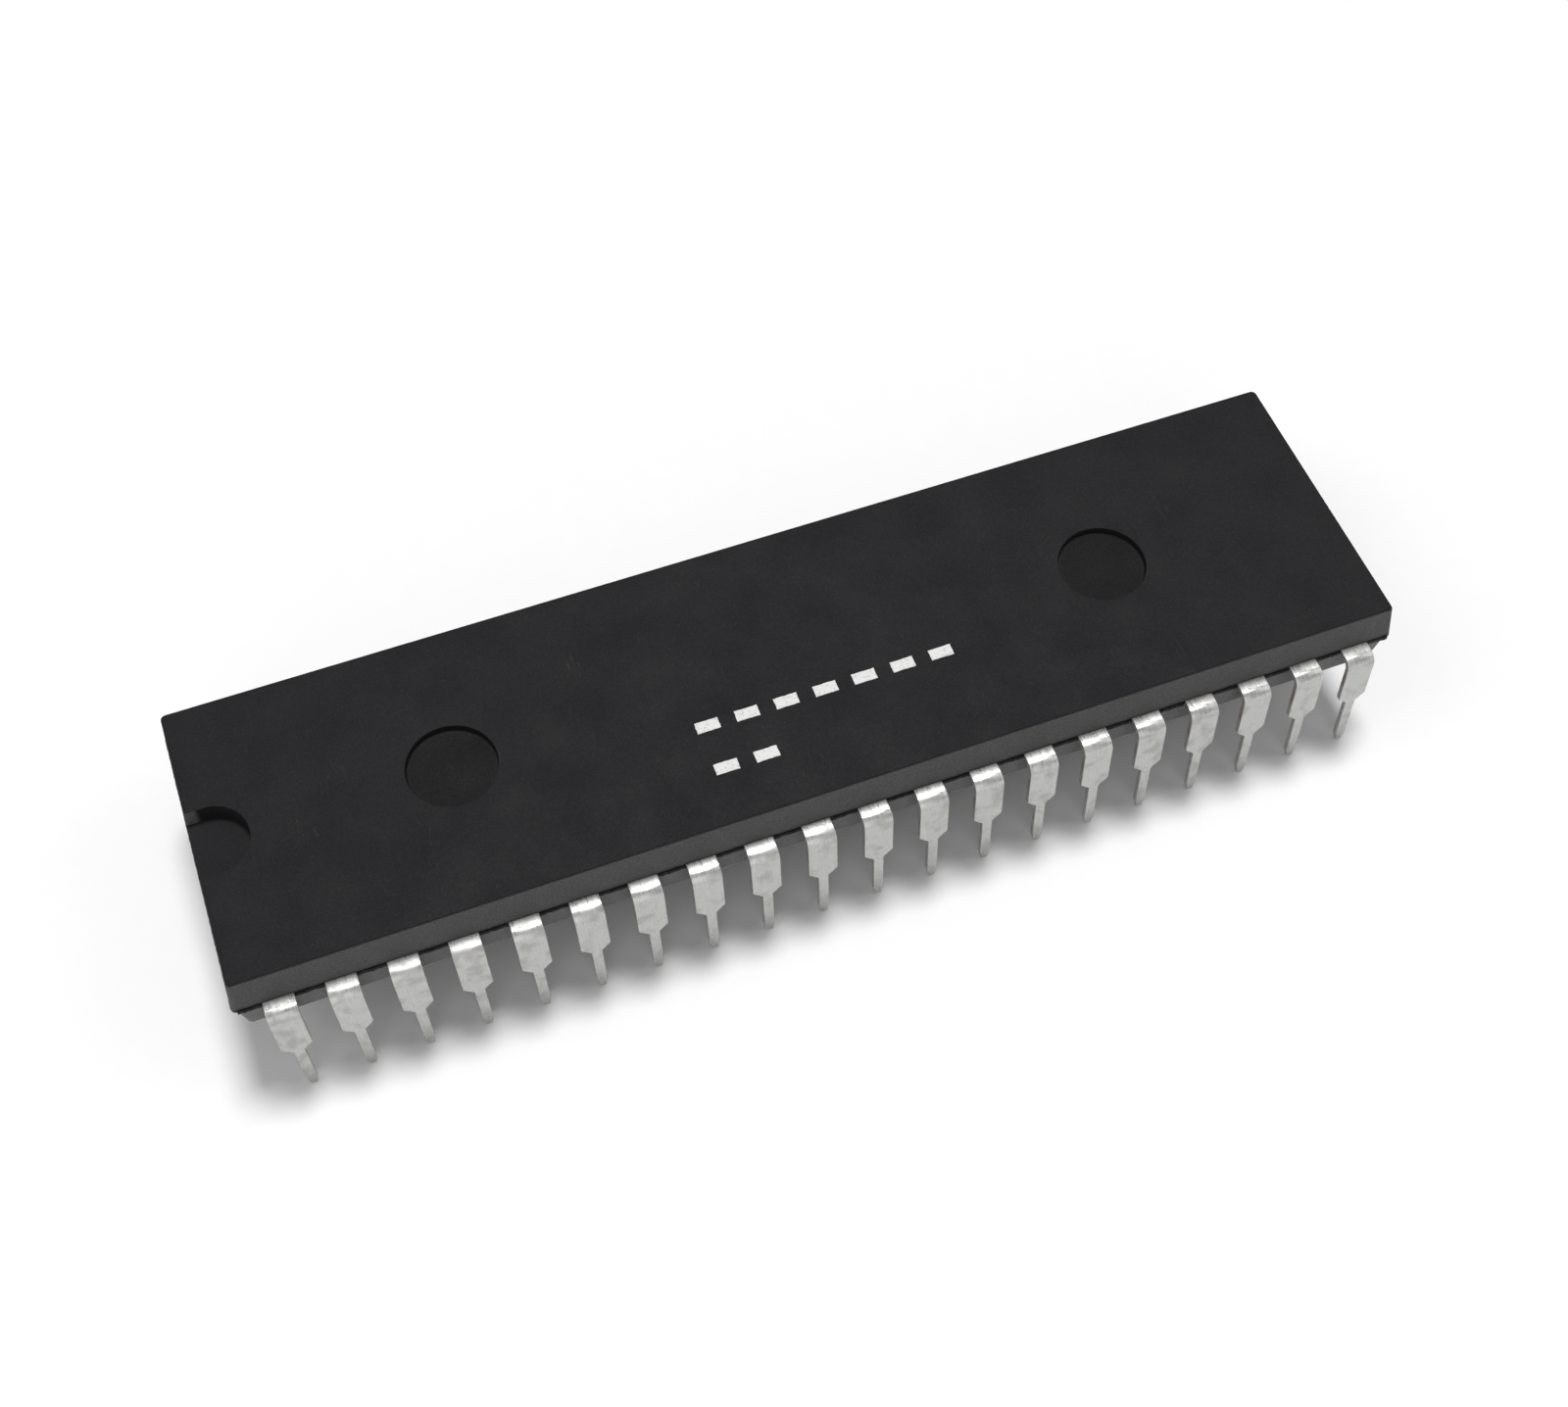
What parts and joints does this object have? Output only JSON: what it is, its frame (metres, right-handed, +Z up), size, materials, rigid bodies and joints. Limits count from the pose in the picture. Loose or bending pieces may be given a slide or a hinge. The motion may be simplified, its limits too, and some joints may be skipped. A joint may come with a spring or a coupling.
{
  "type": "dual in-line integrated circuit",
  "caption": "Long black moulded circuit package with a row of bent tin-plated leads down each side, a pin-one notch in one end and two shallow round mould marks.",
  "frame": {"origin": "middle of the plane that the lead tips stand on, under the middle of the body", "axes": "+X along the body away from the notched end, +Y across it from the row of pin one to the other row, +Z up from the lead tips to the top face"},
  "size_m": [0.052, 0.0164, 0.0076],
  "materials": {
    "moulding": "near-black moulded epoxy, fine matt grain, greyer on the drafted sides",
    "lead": "bright tin plating over copper alloy sheet, soft streaks and dull spots",
    "frame_sheet": "plain rolled copper alloy sheet",
    "adhesive": "silver-filled adhesive",
    "silicon": "polished silicon with fine circuit texture",
    "gold_wire": "drawn gold"
  },
  "bodies": {
    "root": {"body": "moulding", "pin_01": "lead", "pin_02": "lead", "pin_03": "lead", "pin_04": "lead", "pin_05": "lead", "pin_06": "lead", "pin_07": "lead", "pin_08": "lead", "pin_09": "lead", "pin_10": "lead", "pin_11": "lead", "pin_12": "lead", "pin_13": "lead", "pin_14": "lead", "pin_15": "lead", "pin_16": "lead", "pin_17": "lead", "pin_18": "lead", "pin_19": "lead", "pin_20": "lead", "pin_21": "lead", "pin_22": "lead", "pin_23": "lead", "pin_24": "lead", "pin_25": "lead", "pin_26": "lead", "pin_27": "lead", "pin_28": "lead", "pin_29": "lead", "pin_30": "lead", "pin_31": "lead", "pin_32": "lead", "pin_33": "lead", "pin_34": "lead", "pin_35": "lead", "pin_36": "lead", "pin_37": "lead", "pin_38": "lead", "pin_39": "lead", "pin_40": "lead", "die_paddle": "frame_sheet", "die_attach": "adhesive", "die": "silicon", "bond_wires": "gold_wire"}
  },
  "joints": []
}
